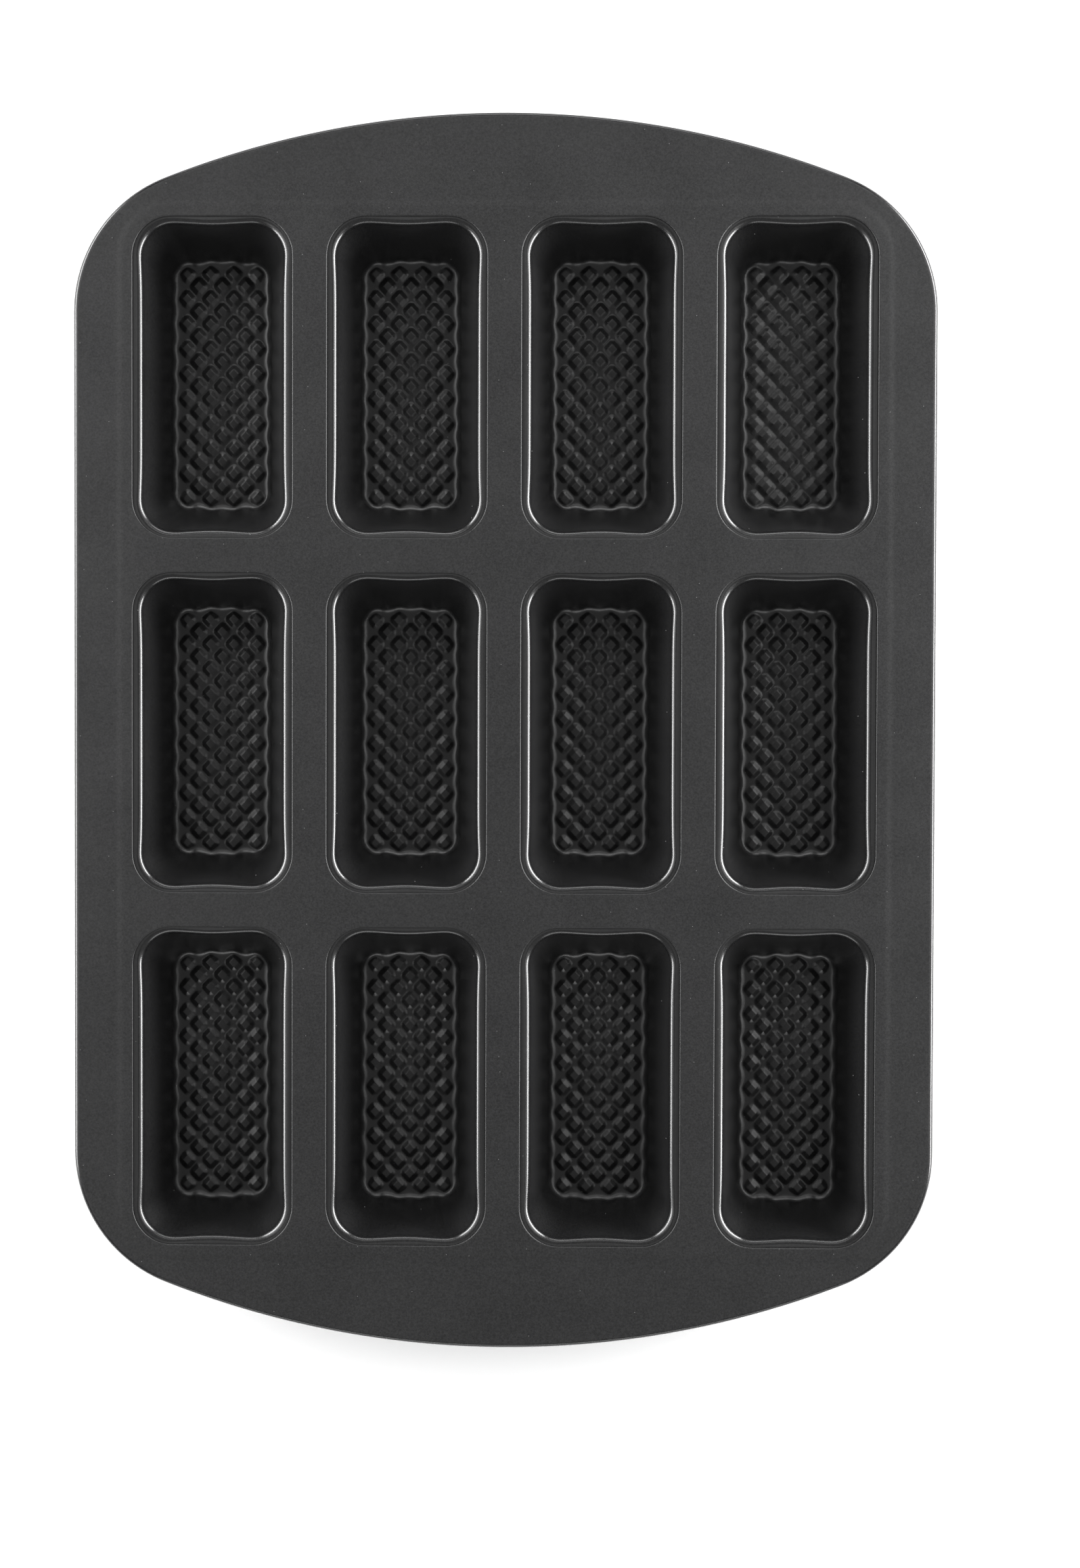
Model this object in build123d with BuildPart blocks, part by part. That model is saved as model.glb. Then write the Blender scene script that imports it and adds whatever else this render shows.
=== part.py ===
from build123d import *
from math import asin, atan, cos, degrees, sqrt
import os

# Twelve-cup baguette tray: a pressed top sheet with a wired rim, and twelve drawn cups whose
# flanges are lapped under the edges of its openings. Millimetres. The tray lies on a table at
# z = 0 with its cups opening upwards: X runs across its width, Y along its length, and the
# origin is the centre of its footprint.

# The whole tray
sheet = 0.6                 # gauge of the steel in every pressed piece
tray_length = 400.0
tray_width = 278.6
tray_height = 25.6          # table to the face of the top sheet
crown_radius = 301.5        # slow bow of the two ends
corner_radius = 46.2        # plan corners, tangent to the bow and to the straight sides

# Rolled rim with its wire
rim_radius = 1.6            # outside of the roll
wire_clearance = 0.05
roll_angle = 270            # how far the sheet is rolled round the wire

# Cup grid
columns = 4
rows = 3
column_pitch = 62.9
row_pitch = 114.8

# Openings of the top sheet, and the cup flanges lapped under them
opening_width = 51.6
opening_length = 103.5
opening_corner = 12.6
lap = 3.0

# Inside of a cup, with its walls produced to sharp edges at the flange face and at the floor
flange_face = tray_height - sheet
mouth_width = 45.9
mouth_length = 98.7
mouth_corner = 9.8
mouth_fillet = 2.2          # soft lip where the flange turns down into the walls
floor_width = 32.5
floor_length = 83.1
floor_corner = 6.8
floor_fillet = 3.0          # inside fillet between floor and walls

wall_draft = atan((mouth_width - floor_width) / 2 / (flange_face - sheet))
wall_width = sheet / cos(wall_draft)    # plan width of a sloping wall

# Diamond embossing of the cup floors: rows of four bumps with rows of three between them
bump_pitch_x = 7.8
bump_pitch_y = 8.3
bump_columns = 4
bump_rows = 10
bump_side = 4.9             # foot of one bump, a square standing on its corner
bump_top_side = 2.1
bump_height = 1.0
bump_taper = degrees(atan((bump_side - bump_top_side) / 2 / bump_height))


def draw_outline(inset):
    """Closed outline of the tray, drawn `inset` inside its outer edge."""
    corner_x = tray_width / 2 - corner_radius
    crown_y = tray_length / 2 - crown_radius
    corner_y = crown_y + sqrt((crown_radius - corner_radius) ** 2 - corner_x**2)
    side_x = tray_width / 2 - inset
    small = corner_radius - inset
    crown_half = degrees(asin(corner_x / (crown_radius - corner_radius)))
    turn = 90 - crown_half
    Line((side_x, -corner_y), (side_x, corner_y))
    CenterArc((corner_x, corner_y), small, 0, turn)
    CenterArc((0, crown_y), crown_radius - inset, turn, 2 * crown_half)
    CenterArc((-corner_x, corner_y), small, 90 + crown_half, turn)
    Line((-side_x, corner_y), (-side_x, -corner_y))
    CenterArc((-corner_x, -corner_y), small, 180, turn)
    CenterArc((0, -crown_y), crown_radius - inset, 180 + turn, 2 * crown_half)
    CenterArc((corner_x, -corner_y), small, 270 + crown_half, turn)


def cup_section(height, growth):
    """Rounded rectangle of a cup's hollow at a height, grown outwards by `growth`."""
    rise = (height - sheet) / (flange_face - sheet)
    width = floor_width + rise * (mouth_width - floor_width)
    length = floor_length + rise * (mouth_length - floor_length)
    corner = floor_corner + rise * (mouth_corner - floor_corner)
    RectangleRounded(width + 2 * growth, length + 2 * growth, corner + growth)


os.makedirs("parts", exist_ok=True)

# Path of the wire, and of the middle of the roll around it
with BuildLine(Plane.XY.offset(tray_height - rim_radius)) as rim_path:
    draw_outline(rim_radius)
rim_start = Plane(origin=rim_path.line @ 0, x_dir=(1, 0, 0), z_dir=(0, 1, 0))

# Top sheet: flat web with twelve openings, its edge rolled down and under round the wire
with BuildPart() as top_sheet:
    with BuildSketch(Plane.XY.offset(tray_height - sheet)):
        with BuildLine():
            draw_outline(rim_radius)
        make_face()
        with GridLocations(column_pitch, row_pitch, columns, rows):
            RectangleRounded(opening_width, opening_length, opening_corner, mode=Mode.SUBTRACT)
    extrude(amount=sheet)
    with BuildSketch(rim_start):
        with BuildLine():
            outer = CenterArc((0, 0), rim_radius, -90, roll_angle)
            inner = CenterArc((0, 0), rim_radius - sheet, -90, roll_angle)
            Line(outer @ 0, inner @ 0)
            Line(outer @ 1, inner @ 1)
        make_face()
    sweep(path=rim_path.line)
top_sheet.part.label = "top_sheet"
export_step(top_sheet.part, "parts/top_sheet.step")

# Rim wire: one closed ring inside the roll
with BuildPart() as rim_wire:
    with BuildSketch(rim_start):
        Circle(rim_radius - sheet - wire_clearance)
    sweep(path=rim_path.line)
rim_wire.part.label = "rim_wire"
export_step(rim_wire.part, "parts/rim_wire.step")

# One bump of the embossing, its foot on the floor's upper face at the origin
with BuildPart() as bump:
    with BuildSketch():
        Rectangle(bump_side, bump_side, rotation=45)
    extrude(amount=bump_height, taper=bump_taper)

# Hollow of a cup, from its floor to the flange face
with BuildPart() as hollow:
    with BuildSketch(Plane.XY.offset(sheet)):
        cup_section(sheet, 0)
    with BuildSketch(Plane.XY.offset(flange_face)):
        cup_section(flange_face, 0)
    loft()
    fillet(faces().sort_by(Axis.Z)[0].edges(), radius=floor_fillet)

# Cup: drawn pocket with a flat flange round its mouth and an embossed floor
with BuildPart() as cup:
    with BuildSketch():
        cup_section(0, wall_width)
    with BuildSketch(Plane.XY.offset(flange_face - sheet)):
        cup_section(flange_face - sheet, wall_width)
    loft()
    fillet(faces().sort_by(Axis.Z)[0].edges(), radius=floor_fillet + sheet)
    with BuildSketch(Plane.XY.offset(flange_face - sheet)):
        RectangleRounded(opening_width + 2 * lap, opening_length + 2 * lap, opening_corner + lap)
    extrude(amount=sheet)
    flange_underside = faces().filter_by(Axis.Z).sort_by(Axis.Z)[-2]
    fillet(flange_underside.inner_wires()[0].edges(), radius=mouth_fillet - sheet)
    add(hollow.part, mode=Mode.SUBTRACT)
    fillet(faces().sort_by(Axis.Z)[-1].inner_wires()[0].edges(), radius=mouth_fillet)
    with GridLocations(bump_pitch_x, bump_pitch_y, bump_columns, bump_rows):
        add(bump.part.moved(Location((0, 0, sheet))))
    with GridLocations(bump_pitch_x, bump_pitch_y, bump_columns - 1, bump_rows - 1):
        add(bump.part.moved(Location((0, 0, sheet))))
    with GridLocations(bump_pitch_x, bump_pitch_y, bump_columns, bump_rows):
        add(bump.part, mode=Mode.SUBTRACT)
    with GridLocations(bump_pitch_x, bump_pitch_y, bump_columns - 1, bump_rows - 1):
        add(bump.part, mode=Mode.SUBTRACT)

# The same cup at each place of the grid: row 1 is at +Y, column 1 at -X
for row in range(rows):
    for column in range(columns):
        x = (column - (columns - 1) / 2) * column_pitch
        y = ((rows - 1) / 2 - row) * row_pitch
        placed = cup.part.moved(Location((x, y, 0)))
        placed.label = f"cup_r{row + 1}c{column + 1}"
        export_step(placed, f"parts/{placed.label}.step", write_pcurves=False)
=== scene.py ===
"""Looks for the twelve-cup baguette tray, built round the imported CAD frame.

Every pressed piece is remade here as a finer mesh of the same sheet: the top sheet with its rolled
rim and seamed openings, and the cups with their soft lips, bowed sides and diamond embossing.
Shapes are worked out in millimetres in the CAD frame and stored in metres.
"""

from math import asin, cos, hypot, pi, radians, sin, sqrt

import bpy
from mathutils.geometry import delaunay_2d_cdt
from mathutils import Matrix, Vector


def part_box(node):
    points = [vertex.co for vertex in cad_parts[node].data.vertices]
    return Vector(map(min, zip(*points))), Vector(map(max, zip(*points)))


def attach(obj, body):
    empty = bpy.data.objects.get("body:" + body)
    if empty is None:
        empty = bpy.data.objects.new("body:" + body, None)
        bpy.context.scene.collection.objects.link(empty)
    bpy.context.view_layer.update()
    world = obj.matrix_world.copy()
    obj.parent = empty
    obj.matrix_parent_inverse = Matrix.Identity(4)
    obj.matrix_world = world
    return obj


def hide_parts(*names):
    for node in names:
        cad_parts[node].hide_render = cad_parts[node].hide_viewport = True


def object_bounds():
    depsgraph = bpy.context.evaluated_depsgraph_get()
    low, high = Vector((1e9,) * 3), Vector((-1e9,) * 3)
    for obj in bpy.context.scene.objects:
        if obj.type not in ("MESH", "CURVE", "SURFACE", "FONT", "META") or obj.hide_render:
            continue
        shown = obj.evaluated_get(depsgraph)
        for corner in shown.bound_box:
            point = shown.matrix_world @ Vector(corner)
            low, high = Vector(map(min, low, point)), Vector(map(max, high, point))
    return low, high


MM = 0.001

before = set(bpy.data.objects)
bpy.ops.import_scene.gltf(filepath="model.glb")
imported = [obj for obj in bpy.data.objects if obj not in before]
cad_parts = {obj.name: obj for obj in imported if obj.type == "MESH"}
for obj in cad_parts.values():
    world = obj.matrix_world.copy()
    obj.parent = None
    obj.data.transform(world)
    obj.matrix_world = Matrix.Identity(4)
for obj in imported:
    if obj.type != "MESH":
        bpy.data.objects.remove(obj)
cad_low, cad_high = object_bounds()
tray_top = cad_high[2] / MM
half_width = cad_high[0] / MM
half_length = cad_high[1] / MM

# Sheet and tray outline, in millimetres
SHEET = 0.6
CROWN_RADIUS = 301.5
CORNER_RADIUS = 46.2
ROLL_RADIUS = 1.6
ROLL_ANGLE = 270
FLANGE_FACE = tray_top - SHEET

# Openings of the top sheet
OPENING = (25.8, 51.75)     # half width and half length
OPENING_CORNER = 12.6
EDGE_ROUND = 0.42           # soft upper edge of an opening
EDGE_CREVICE = 0.16         # soft lower edge, which leaves a dark line over the flange

# Cup: the flat of its floor, its fillet, its draft and its lip
FLOOR = (13.96, 39.26)
FLOOR_CORNER = 4.5
FLOOR_FILLET = 3.0
WALL_ANGLE = radians(74.65)
END_DRAFT = 1.1             # how much further the end walls run out than the side walls
LIP_RADIUS = 2.2
CORNER_GROWTH = 0.65        # corner radius gained for each millimetre outwards
FLANGE_EDGE = 14.84         # outer edge of the flange, outwards from the flat of the floor

# Bow of a cup's sides: middles stand out at the floor and pull in at the mouth
FLOOR_BOW = (0.25, 0.9)
MOUTH_BOW = (-0.35, -0.55)
SCALLOP = 0.6               # how far the edge of the floor draws in between the bumps
SCALLOP_RISE = 0.3          # share of the cup's depth over which that dies away
WALL_BOW_RISE = 0.85        # share of the depth at which the sides have taken the mouth's bow

# Diamond embossing
BUMP_PITCH = (7.8, 8.3)
BUMP_HEIGHT = 1.0
BUMP_FOOT = 0.47           # half widths of a bump, in lattice units
BUMP_TOP = 0.18
CRISP_BUMP = 0.16           # how far the change of slope at a bump's foot and top is spread
SOFT_BUMP = 0.55            # the same in the one cup whose floor came out softer
SOFT_CUP = "cup_r1c4"
TOP_CORNER = 0.05           # rounding of a bump's top in plan, in lattice units
EMBOSSED_RISE = 2.0         # the embossing runs this far up into the fillet


def soft_max(a, b, softness):
    """The larger of two values, with a rounded change-over."""
    if softness <= 0:
        return max(a, b)
    near = max(softness - abs(a - b), 0)
    return max(a, b) + near * near / (4 * softness)


def bump_rise(x, y, softness):
    """Height of the embossing above the flat of a cup's floor, at a point from the cup's centre."""
    across = x / BUMP_PITCH[0]
    along = y / BUMP_PITCH[1]
    a, b = across + along, across - along
    centre_a, centre_b = round(a), round(b)
    if abs(centre_a + centre_b) > 3 or abs(centre_a - centre_b) > 9:
        return 0.0
    past_a = abs(a - centre_a) - BUMP_TOP
    past_b = abs(b - centre_b) - BUMP_TOP
    reach = hypot(max(past_a, 0), max(past_b, 0)) + min(soft_max(past_a, past_b, TOP_CORNER), 0)
    climb = 1 - reach / (BUMP_FOOT - BUMP_TOP)
    climb = soft_max(climb, 0, softness)
    climb = 1 - soft_max(1 - climb, 0, softness)
    return BUMP_HEIGHT * climb


def with_bump(x, y, rise, softness):
    """Height over the flat of the floor where a fillet that has risen so far meets the embossing."""
    bump = bump_rise(x, y, softness)
    return soft_max(rise, bump, 0.5 * min(rise, bump))


class Skin:
    """Collects points and faces of one mesh, in millimetres."""

    def __init__(self):
        self.points = []
        self.faces = []

    def loop(self, points):
        first = len(self.points)
        self.points.extend(points)
        return list(range(first, len(self.points)))

    def strip(self, inner, outer):
        """Quads between two closed loops of the same length."""
        count = len(inner)
        for i in range(count):
            j = (i + 1) % count
            self.faces.append((inner[i], outer[i], outer[j], inner[j]))

    def loops(self, rows):
        """Strips between each loop of points and the next; returns the first and last loops."""
        made = [self.loop(row) for row in rows]
        for inner, outer in zip(made, made[1:]):
            self.strip(inner, outer)
        return made[0], made[-1]

    def build(self, name):
        mesh = bpy.data.meshes.new(name)
        scaled = [(x * MM, y * MM, z * MM) for x, y, z in self.points]
        mesh.from_pydata(scaled, [], self.faces)
        mesh.update()
        mesh.shade_smooth()
        piece = bpy.data.objects.new(name, mesh)
        bpy.context.scene.collection.objects.link(piece)
        return piece


# ---------------------------------------------------------------- cup

SIDE_STEPS = 160
END_STEPS = 44
CORNER_STEPS = 14


def scallop(along, pitch):
    """How far, from 0 to 1, a floor's edge draws in between the outermost bumps along it."""
    return (1 + cos(2 * pi * along / pitch)) / 2


def cup_outline(half_x, half_y, corner, bow_x, bow_y, wave=0):
    """Closed outline of a cup, anticlockwise; bow is how far the middle of a side stands out.

    `wave` is how far the sides draw in between the bumps next to them.
    """
    corner_x = half_x - bow_x
    corner_y = half_y - bow_y
    straight_x = corner_x - corner
    straight_y = corner_y - corner

    def side(step):
        s = 2 * step / SIDE_STEPS - 1
        y = s * straight_y
        return corner_x + bow_x * (1 - s**8) ** 2 - wave * scallop(y, BUMP_PITCH[1]) * (1 - s**8), y

    def end(step):
        s = 2 * step / END_STEPS - 1
        x = -s * straight_x
        return x, corner_y + bow_y * (1 - s**2) ** 2 - wave * scallop(x, BUMP_PITCH[0]) * (1 - s**8)

    def arc(start, centre):
        for step in range(1, CORNER_STEPS):
            angle = start + pi / 2 * step / CORNER_STEPS
            yield centre[0] + corner * cos(angle), centre[1] + corner * sin(angle)

    points = [side(step) for step in range(SIDE_STEPS + 1)]
    points += arc(0, (straight_x, straight_y))
    points += [end(step) for step in range(END_STEPS + 1)]
    points += arc(pi / 2, (-straight_x, straight_y))
    points += [(-x, -y) for x, y in (side(step) for step in range(SIDE_STEPS + 1))]
    points += arc(pi, (-straight_x, -straight_y))
    points += [(-x, -y) for x, y in (end(step) for step in range(END_STEPS + 1))]
    points += arc(3 * pi / 2, (straight_x, -straight_y))
    return points


def cup_profile(thickness):
    """Section of a cup from the flat of its floor to the flange's outer edge.

    Each entry is (outwards from the flat of the floor, height). `thickness` is 0 for the inside,
    and the sheet for the underside.
    """
    floor_level = SHEET
    fillet = FLOOR_FILLET
    lip = LIP_RADIUS
    section = []
    for step in range(11):
        angle = WALL_ANGLE * step / 10
        section.append((fillet * sin(angle), floor_level + fillet * (1 - cos(angle)), angle))
    foot_out, foot_up, _ = section[-1]
    lip_drop = lip * (1 - cos(WALL_ANGLE))
    wall_rise = FLANGE_FACE - lip_drop - foot_up
    wall_run = wall_rise * cos(WALL_ANGLE) / sin(WALL_ANGLE)
    for step in range(1, 5):
        share = step / 5
        section.append((foot_out + wall_run * share, foot_up + wall_rise * share, WALL_ANGLE))
    lip_centre = foot_out + wall_run + lip * sin(WALL_ANGLE)
    for step in range(11):
        angle = WALL_ANGLE * (1 - step / 10)
        section.append((lip_centre - lip * sin(angle), FLANGE_FACE - lip * (1 - cos(angle)), angle))
    section.append((lip_centre + 0.12, FLANGE_FACE, 0))
    section.append((FLANGE_EDGE, FLANGE_FACE, 0))
    return [(out + thickness * sin(tilt), up - thickness * cos(tilt)) for out, up, tilt in section]


def cup_loops(thickness, softness):
    """Loops of points up one face of a cup's sheet, with the embossing where it runs into the fillet."""
    base = SHEET - thickness
    rows = []
    for out, up in cup_profile(thickness):
        rise = (up - base) / (FLANGE_FACE - SHEET)
        share = min(rise / WALL_BOW_RISE, 1)
        fade = max(0, min(1, (OPENING[0] - FLOOR[0] - out) / (OPENING[0] - FLOOR[0] - LIP_START)))
        bow_x = (FLOOR_BOW[0] * (1 - share) + MOUTH_BOW[0] * share) * fade
        bow_y = (FLOOR_BOW[1] * (1 - share) + MOUTH_BOW[1] * share) * fade
        outline = cup_outline(
            FLOOR[0] + out,
            FLOOR[1] + out + END_DRAFT * min(rise, 1),
            FLOOR_CORNER + CORNER_GROWTH * out,
            bow_x,
            bow_y,
            SCALLOP * max(1 - rise / SCALLOP_RISE, 0),
        )
        if up - base < EMBOSSED_RISE:
            rows.append([(x, y, base + with_bump(x, y, up - base, softness)) for x, y in outline])
        else:
            rows.append([(x, y, up) for x, y in outline])
    return rows


def lattice_points(marks):
    """Points of a grid that follows the edges of the diamonds, inside the flat of the floor."""
    offsets = [side * mark for mark in marks for side in (-1, 1)]
    lines = sorted({round(cell + offset, 4) for cell in range(-7, 8) for offset in offsets})
    points = []
    for a in lines:
        for b in lines:
            x = (a + b) / 2 * BUMP_PITCH[0]
            y = (a - b) / 2 * BUMP_PITCH[1]
            if inside_flat(x, y):
                points.append((x, y))
    return points


def inside_flat(x, y, margin=0.12):
    """True well inside the flat of the floor."""
    half_x = FLOOR[0] - FLOOR_BOW[0] - margin
    half_y = FLOOR[1] - FLOOR_BOW[1] - margin
    straight_x = FLOOR[0] - FLOOR_BOW[0] - FLOOR_CORNER
    straight_y = FLOOR[1] - FLOOR_BOW[1] - FLOOR_CORNER
    x, y = abs(x), abs(y)
    if x > straight_x and y > straight_y:
        return hypot(x - straight_x, y - straight_y) < FLOOR_CORNER - margin
    if y <= straight_y:
        bow = FLOOR_BOW[0] * (1 - (y / straight_y) ** 8) ** 2
        return x < half_x + bow - SCALLOP * scallop(y, BUMP_PITCH[1]) * (1 - (y / straight_y) ** 8)
    bow = FLOOR_BOW[1] * (1 - (x / straight_x) ** 2) ** 2
    return y < half_y + bow - SCALLOP * scallop(x, BUMP_PITCH[0]) * (1 - (x / straight_x) ** 8)


def add_floor(skin, boundary, marks, level, softness):
    """Embossed floor inside a boundary loop that the skin already has."""
    rim = [skin.points[i][:2] for i in boundary]
    flat = [tuple(p) for p in rim] + lattice_points(marks)
    edges = [(i, (i + 1) % len(rim)) for i in range(len(rim))]
    made = delaunay_2d_cdt(flat, edges, [], 1, 1e-6)
    points, faces, origins = made[0], made[2], made[3]
    index = []
    for at, point in enumerate(points):
        first = origins[at][0] if origins[at] else -1
        if 0 <= first < len(rim):
            index.append(boundary[first])
        else:
            index.append(len(skin.points))
            skin.points.append((point[0], point[1], level + bump_rise(point[0], point[1], softness)))
    for face in faces:
        skin.faces.append(tuple(index[i] for i in face))


LIP_START = cup_profile(0)[-2][0]
FINE_MARKS = (0, 0.15, 0.165, 0.18, 0.195, 0.21, 0.31, 0.43, 0.45, 0.46, 0.47, 0.485, 0.5)
COARSE_MARKS = (0, 0.15, 0.2, 0.3, 0.45, 0.47, 0.5)


def cup_skin(softness):
    """One cup: both faces of its sheet, joined at the flange's outer edge."""
    skin = Skin()
    inside_floor, inside_edge = skin.loops(cup_loops(0, softness))
    add_floor(skin, inside_floor, FINE_MARKS, SHEET, softness)
    turn = len(skin.faces)
    under_floor, under_edge = skin.loops(cup_loops(SHEET, softness))
    add_floor(skin, under_floor, COARSE_MARKS, 0, softness)
    skin.faces[turn:] = [face[::-1] for face in skin.faces[turn:]]
    skin.strip(inside_edge, under_edge)
    return skin


# ---------------------------------------------------------------- top sheet

SIDE_POINTS = 40
CORNER_POINTS = 26
CROWN_POINTS = 64


def tray_outline(inset):
    """Outline of the tray, `inset` inside its edge, anticlockwise."""
    corner_x = half_width - CORNER_RADIUS
    crown_y = half_length - CROWN_RADIUS
    corner_y = crown_y + sqrt((CROWN_RADIUS - CORNER_RADIUS) ** 2 - corner_x**2)
    crown_half = asin(corner_x / (CROWN_RADIUS - CORNER_RADIUS))
    side_x = half_width - inset
    points = []

    def arc(centre, radius, start, sweep, count):
        for step in range(count):
            angle = start + sweep * step / count
            points.append((centre[0] + radius * cos(angle), centre[1] + radius * sin(angle)))

    for way in (1, -1):
        for step in range(SIDE_POINTS):
            points.append((way * side_x, way * corner_y * (2 * step / SIDE_POINTS - 1)))
        half_turn = 0 if way == 1 else pi
        turn = pi / 2 - crown_half
        arc((way * corner_x, way * corner_y), CORNER_RADIUS - inset, half_turn, turn, CORNER_POINTS)
        crown = (0, way * crown_y)
        arc(crown, CROWN_RADIUS - inset, half_turn + turn, 2 * crown_half, CROWN_POINTS)
        start = half_turn + pi / 2 + crown_half
        arc((-way * corner_x, way * corner_y), CORNER_RADIUS - inset, start, turn, CORNER_POINTS)
    return points


def opening_outline(grow):
    """Rounded rectangle of an opening, `grow` outside its edge."""
    half_x = OPENING[0] + grow
    half_y = OPENING[1] + grow
    return cup_outline(half_x, half_y, OPENING_CORNER + grow, 0, 0)


def outside_opening(x, y, grow):
    """Distance of a point from the outline of an opening at the origin; negative inside it."""
    corner = OPENING_CORNER + grow
    past_x = abs(x) - (OPENING[0] + grow - corner)
    past_y = abs(y) - (OPENING[1] + grow - corner)
    return hypot(max(past_x, 0), max(past_y, 0)) + min(max(past_x, past_y), 0) - corner


# Faint step pressed into the sheet round the whole block of cups
PRESS_LINE = 4.3            # outside the outermost openings
PRESS_DROP = 0.14
PRESS_WIDTH = 1.4
PRESS_OFFSETS = (-2.0, -1.4, -0.9, -0.45, 0, 0.45, 0.9, 1.4, 2.0)


def press_height(offset):
    """Height of the top sheet's face across the pressed step."""
    share = max(-1, min(1, offset / PRESS_WIDTH))
    return tray_top - PRESS_DROP * (1 + sin(pi / 2 * share)) / 2


def opening_rows():
    """Section of an opening's edge from the sheet's underside to its face: (grow, height)."""
    rows = [(EDGE_CREVICE + 0.25, FLANGE_FACE)]
    for step in range(5):
        angle = pi / 2 * step / 4
        out = EDGE_CREVICE * (1 - sin(angle))
        rows.append((out, FLANGE_FACE + EDGE_CREVICE * (1 - cos(angle))))
    for step in range(6):
        angle = pi / 2 * step / 5
        rows.append((EDGE_ROUND * (1 - cos(angle)), tray_top - EDGE_ROUND * (1 - sin(angle))))
    rows.append((EDGE_ROUND + 0.12, tray_top))
    rows.append((EDGE_ROUND + 0.3, tray_top))
    return rows


def rim_rows():
    """Section of the rolled rim from the sheet's face round to its underside: (inset, height)."""
    face = press_height(PRESS_WIDTH)
    centre = face - ROLL_RADIUS
    rows = [(ROLL_RADIUS + 0.6, face), (ROLL_RADIUS + 0.2, face)]
    for step in range(0, ROLL_ANGLE + 1, 9):
        angle = radians(step)
        rows.append((ROLL_RADIUS * (1 - sin(angle)), centre + ROLL_RADIUS * cos(angle)))
    bore = ROLL_RADIUS - SHEET
    for step in range(ROLL_ANGLE, -1, -15):
        angle = radians(step)
        rows.append((ROLL_RADIUS - bore * sin(angle), centre + bore * cos(angle)))
    rows.append((ROLL_RADIUS + 0.5, face - SHEET))
    return rows


def add_web(skin, loops, places, grow, upwards):
    """Flat web between closed loops that the skin already has, left open inside the openings."""
    index = [i for loop in loops for i in loop]
    edges = []
    first = 0
    for loop in loops:
        edges += [(first + i, first + (i + 1) % len(loop)) for i in range(len(loop))]
        first += len(loop)
    flat = [skin.points[i][:2] for i in index]
    points, _, faces, origins = delaunay_2d_cdt(flat, edges, [], 1, 1e-6)[:4]
    for face in faces:
        x = sum(points[i][0] for i in face) / len(face)
        y = sum(points[i][1] for i in face) / len(face)
        if all(outside_opening(x - px, y - py, grow) > -0.03 for px, py in places):
            corners = tuple(index[origins[i][0]] for i in face)
            skin.faces.append(corners if upwards else corners[::-1])


def top_sheet_skin(places):
    """The top sheet: openings, web with its pressed step, and rolled rim."""
    skin = Skin()
    lower = []
    upper = []
    for px, py in places:
        outlines = [(opening_outline(grow), height) for grow, height in opening_rows()]
        under, over = skin.loops([[(x + px, y + py, z) for x, y in line] for line, z in outlines])
        lower.append(under)
        upper.append(over)
    block_x = max(px for px, _ in places) + OPENING[0] + PRESS_LINE
    block_y = max(py for _, py in places) + OPENING[1] + PRESS_LINE
    for offset in PRESS_OFFSETS:
        corner = OPENING_CORNER + PRESS_LINE + offset
        line = cup_outline(block_x + offset, block_y + offset, corner, 0, 0)
        upper.append(skin.loop([(x, y, press_height(offset)) for x, y in line]))
    rim = [[(x, y, z) for x, y in tray_outline(inset)] for inset, z in rim_rows()]
    rim_over, rim_under = skin.loops(rim)
    add_web(skin, [*upper, rim_over], places, opening_rows()[-1][0], True)
    add_web(skin, [*lower, rim_under], places, opening_rows()[0][0], False)
    return skin


# ---------------------------------------------------------------- materials

GRAIN_SIZE = 0.6            # grain of the coating
CLOUD_SIZE = 22             # patches of slightly different gloss
GRAIN_HEIGHT = 0.02
DUST_SPACING = 9.0
DUST_RADIUS = 0.12
DUST_TONE = (0.2, 0.2, 0.2)
DUST_SHARE = 0.28           # share of the places that hold a speck
EDGE_RAMP = 1.5             # height over which the walls' gloss turns into the edges'
FLAT_RAMP = 0.04            # height over which the edges' gloss turns into the flats'


def principled(name):
    """A new node material with its shader; returns (material, nodes, links, shader)."""
    material = bpy.data.materials.new(name)
    material.use_nodes = True
    nodes = material.node_tree.nodes
    links = material.node_tree.links
    return material, nodes, links, nodes["Principled BSDF"]


def noise(nodes, links, where, size_mm, detail=2.0, roughness=0.5):
    """Noise whose features are about `size_mm` across."""
    texture = nodes.new("ShaderNodeTexNoise")
    texture.inputs["Scale"].default_value = 1 / (size_mm * MM)
    texture.inputs["Detail"].default_value = detail
    texture.inputs["Roughness"].default_value = roughness
    links.new(where, texture.inputs["Vector"])
    return texture.outputs["Fac"]


def spread(nodes, links, value, low, high, from_low=0.3, from_high=0.7):
    """Maps a noise value onto a range."""
    node = nodes.new("ShaderNodeMapRange")
    node.inputs["From Min"].default_value = from_low
    node.inputs["From Max"].default_value = from_high
    node.inputs["To Min"].default_value = low
    node.inputs["To Max"].default_value = high
    links.new(value, node.inputs["Value"])
    return node.outputs["Result"]


def blend(nodes, links, share, first, second):
    """Mix of two colours, or sockets of colour, by a value."""
    node = nodes.new("ShaderNodeMix")
    node.data_type = "RGBA"
    for socket, colour in ((node.inputs[6], first), (node.inputs[7], second)):
        if isinstance(colour, tuple):
            socket.default_value = (*colour, 1)
        else:
            links.new(colour, socket)
    links.new(share, node.inputs[0])
    return node.outputs[2]


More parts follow.
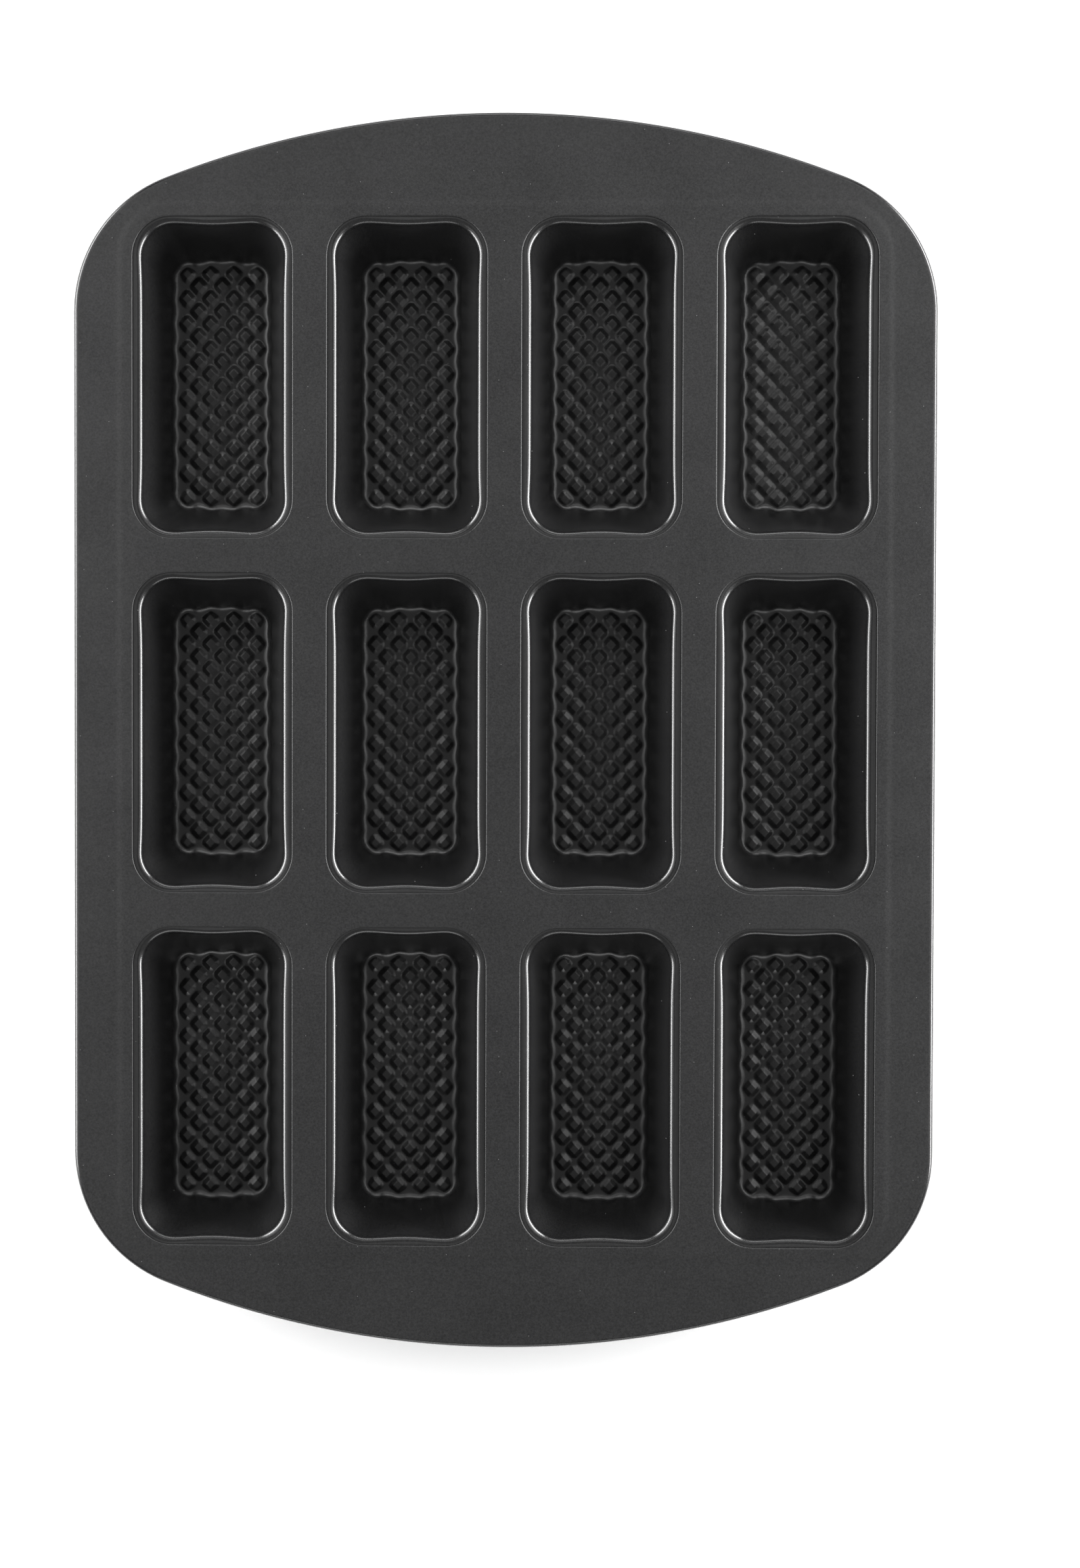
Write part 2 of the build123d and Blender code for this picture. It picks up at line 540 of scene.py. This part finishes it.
def dust(nodes, links, where, spacing_mm, radius_mm):
    """1 on a few pale specks of dust, scattered about `spacing_mm` apart, and 0 elsewhere."""
    cells = nodes.new("ShaderNodeTexVoronoi")
    cells.voronoi_dimensions = "2D"
    cells.inputs["Scale"].default_value = 1 / (spacing_mm * MM)
    links.new(where, cells.inputs["Vector"])
    reach = radius_mm / spacing_mm
    speck = spread(nodes, links, cells.outputs["Distance"], 1, 0, 0.6 * reach, reach)
    chance = nodes.new("ShaderNodeSeparateColor")
    links.new(cells.outputs["Color"], chance.inputs[0])
    pick = spread(nodes, links, chance.outputs[0], 0, 1, 1 - DUST_SHARE, 1.02 - DUST_SHARE)
    both = nodes.new("ShaderNodeMath")
    both.operation = "MULTIPLY"
    links.new(speck, both.inputs[0])
    links.new(pick, both.inputs[1])
    return both.outputs[0]


def level_mask(nodes, links, where, low_mm, high_mm):
    """0 below a height and 1 above another, with a ramp between them."""
    split = nodes.new("ShaderNodeSeparateXYZ")
    links.new(where, split.inputs[0])
    return spread(nodes, links, split.outputs["Z"], 0, 1, low_mm * MM, high_mm * MM)


def mix_values(nodes, links, share, first, second):
    """Mix of two values that are sockets or numbers."""
    node = nodes.new("ShaderNodeMix")
    for socket, value in ((node.inputs[2], first), (node.inputs[3], second)):
        if isinstance(value, (int, float)):
            socket.default_value = value
        else:
            links.new(value, socket)
    links.new(share, node.inputs[0])
    return node.outputs[0]


def coating(name, dark, light, gloss, levels, specular):
    """Dark non-stick coating over steel.

    `dark` and `light` are the tones of its grain. `gloss` is the roughness of the deep walls, of
    the rounded lips and edges above the first of the `levels`, and of the flats above the second,
    where the coating is grainy and satin.
    """
    material, nodes, links, shader = principled(name)
    where = nodes.new("ShaderNodeNewGeometry").outputs["Position"]
    grain = noise(nodes, links, where, GRAIN_SIZE, 3.0, 0.7)
    cloud = noise(nodes, links, where, CLOUD_SIZE)
    edge = level_mask(nodes, links, where, levels[0] - EDGE_RAMP, levels[0])
    flat = level_mask(nodes, links, where, levels[1] - FLAT_RAMP, levels[1])
    tone = blend(nodes, links, spread(nodes, links, grain, 0, 1), dark, light)
    speck = dust(nodes, links, where, DUST_SPACING, DUST_RADIUS)
    links.new(blend(nodes, links, speck, tone, DUST_TONE), shader.inputs["Base Color"])
    walls_and_edges = mix_values(nodes, links, edge, gloss[0], gloss[1])
    smoothness = mix_values(nodes, links, flat, walls_and_edges, gloss[2])
    cloudy = nodes.new("ShaderNodeMath")
    cloudy.operation = "ADD"
    links.new(smoothness, cloudy.inputs[0])
    links.new(spread(nodes, links, cloud, -0.025, 0.025), cloudy.inputs[1])
    links.new(cloudy.outputs[0], shader.inputs["Roughness"])
    shader.inputs["Specular IOR Level"].default_value = specular
    bump = nodes.new("ShaderNodeBump")
    links.new(mix_values(nodes, links, flat, 0.3, 1.0), bump.inputs["Strength"])
    bump.inputs["Distance"].default_value = GRAIN_HEIGHT * MM
    links.new(grain, bump.inputs["Height"])
    links.new(bump.outputs["Normal"], shader.inputs["Normal"])
    return material


def drawn_wire(name):
    """Plain drawn steel wire."""
    material, nodes, links, shader = principled(name)
    where = nodes.new("ShaderNodeNewGeometry").outputs["Position"]
    streaks = noise(nodes, links, where, 0.6, 3.0)
    tone = blend(nodes, links, streaks, (0.36, 0.36, 0.37), (0.5, 0.5, 0.51))
    links.new(tone, shader.inputs["Base Color"])
    links.new(spread(nodes, links, streaks, 0.3, 0.45), shader.inputs["Roughness"])
    shader.inputs["Metallic"].default_value = 1.0
    return material


sheet_coating = coating(
    "sheet_coating",
    dark=(0.002, 0.002, 0.0022),
    light=(0.016, 0.016, 0.0164),
    gloss=(0.22, 0.19, 0.46),
    levels=(24, press_height(PRESS_WIDTH) - 0.02),
    specular=0.5,
)
cup_coating = coating(
    "cup_coating",
    dark=(0.002, 0.002, 0.0021),
    light=(0.009, 0.009, 0.0093),
    gloss=(0.32, 0.24, 0.45),
    levels=(23.8, FLANGE_FACE - 0.02),
    specular=0.72,
)

# ---------------------------------------------------------------- pieces

places = {}
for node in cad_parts:
    if node.startswith("cup_"):
        low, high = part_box(node)
        places[node] = ((low[0] + high[0]) / 2 / MM, (low[1] + high[1]) / 2 / MM)

patterns = {}
for softness in (CRISP_BUMP, SOFT_BUMP):
    patterns[softness] = cup_skin(softness).build("cup_pattern")
    patterns[softness].data.materials.append(cup_coating)
for node, (x, y) in sorted(places.items()):
    pattern = patterns[SOFT_BUMP if node == SOFT_CUP else CRISP_BUMP]
    cup = bpy.data.objects.new(node.replace("cup_", "drawn_cup_"), pattern.data)
    cup.location = (x * MM, y * MM, 0)
    bpy.context.scene.collection.objects.link(cup)
    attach(cup, "root")
    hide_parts(node)
for pattern in patterns.values():
    bpy.data.objects.remove(pattern)

top_sheet = top_sheet_skin(sorted(places.values())).build("pressed_top_sheet")
top_sheet.data.materials.append(sheet_coating)
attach(top_sheet, "root")
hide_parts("top_sheet")

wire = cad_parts["rim_wire"]
wire.data.materials.clear()
wire.data.materials.append(drawn_wire("rim_wire_steel"))

# ---------------------------------------------------------------- studio

FLOOR_REACH = 6.0           # metres from the tray to the edge of the studio floor
floor_corners = [(a * FLOOR_REACH, b * FLOOR_REACH, 0) for a, b in ((-1, -1), (1, -1), (1, 1), (-1, 1))]
floor_mesh = bpy.data.meshes.new("floor")
floor_mesh.from_pydata(floor_corners, [], [(0, 1, 2, 3)])
floor = bpy.data.objects.new("floor", floor_mesh)
bpy.context.scene.collection.objects.link(floor)
paper, _, _, paper_shader = principled("white_paper")
paper_shader.inputs["Base Color"].default_value = (0.93, 0.93, 0.93, 1)
paper_shader.inputs["Roughness"].default_value = 0.9
floor.data.materials.append(paper)


def softbox(name, azimuth, elevation, distance, size, radiance):
    """Rectangular light that faces the tray's centre; angles in degrees, azimuth 0 at +X."""
    turn = radians(azimuth)
    rise = radians(elevation)
    data = bpy.data.lights.new(name, "AREA")
    data.shape = "RECTANGLE"
    data.size, data.size_y = size
    data.energy = radiance * pi * size[0] * size[1]
    light = bpy.data.objects.new(name, data)
    flat = distance * cos(rise)
    light.location = (flat * cos(turn), flat * sin(turn), distance * sin(rise))
    light.rotation_euler = (pi / 2 - rise, 0, turn + pi / 2)
    bpy.context.scene.collection.objects.link(light)
    return light


softbox("right_low", 12, 16, 0.8, (1.1, 0.19), 31)
softbox("right_middle", 12, 30, 0.8, (1.1, 0.22), 4.0)
softbox("right_high", 0, 50, 0.8, (0.8, 0.1), 2.2)
softbox("left_low", 168, 16, 0.8, (1.1, 0.19), 21)
softbox("left_middle", 168, 30, 0.8, (1.1, 0.22), 4.0)
softbox("left_high", 180, 50, 0.8, (0.8, 0.1), 1.8)
softbox("back_low", 90, 19, 1.0, (0.9, 0.16), 6.0)
softbox("back_high", 90, 47, 1.0, (0.9, 0.12), 2.4)
softbox("front_low", 270, 19, 1.0, (0.9, 0.16), 4.5)

world = bpy.data.worlds.new("studio")
world.use_nodes = True
world.node_tree.nodes["Background"].inputs["Color"].default_value = (1, 1, 1, 1)
world.node_tree.nodes["Background"].inputs["Strength"].default_value = 0.29
bpy.context.scene.world = world
bpy.context.scene.view_settings.view_transform = "Standard"

camera_data = bpy.data.cameras.new("camera")
camera_data.lens = 54.0
camera_data.shift_x = 0.0225
camera_data.shift_y = -0.0328
camera = bpy.data.objects.new("camera", camera_data)
camera.location = (0.0120, 0.0169, 0.7854)
camera.rotation_euler = (radians(-1.25), radians(0.88), radians(0.154))
bpy.context.scene.collection.objects.link(camera)
bpy.context.scene.camera = camera
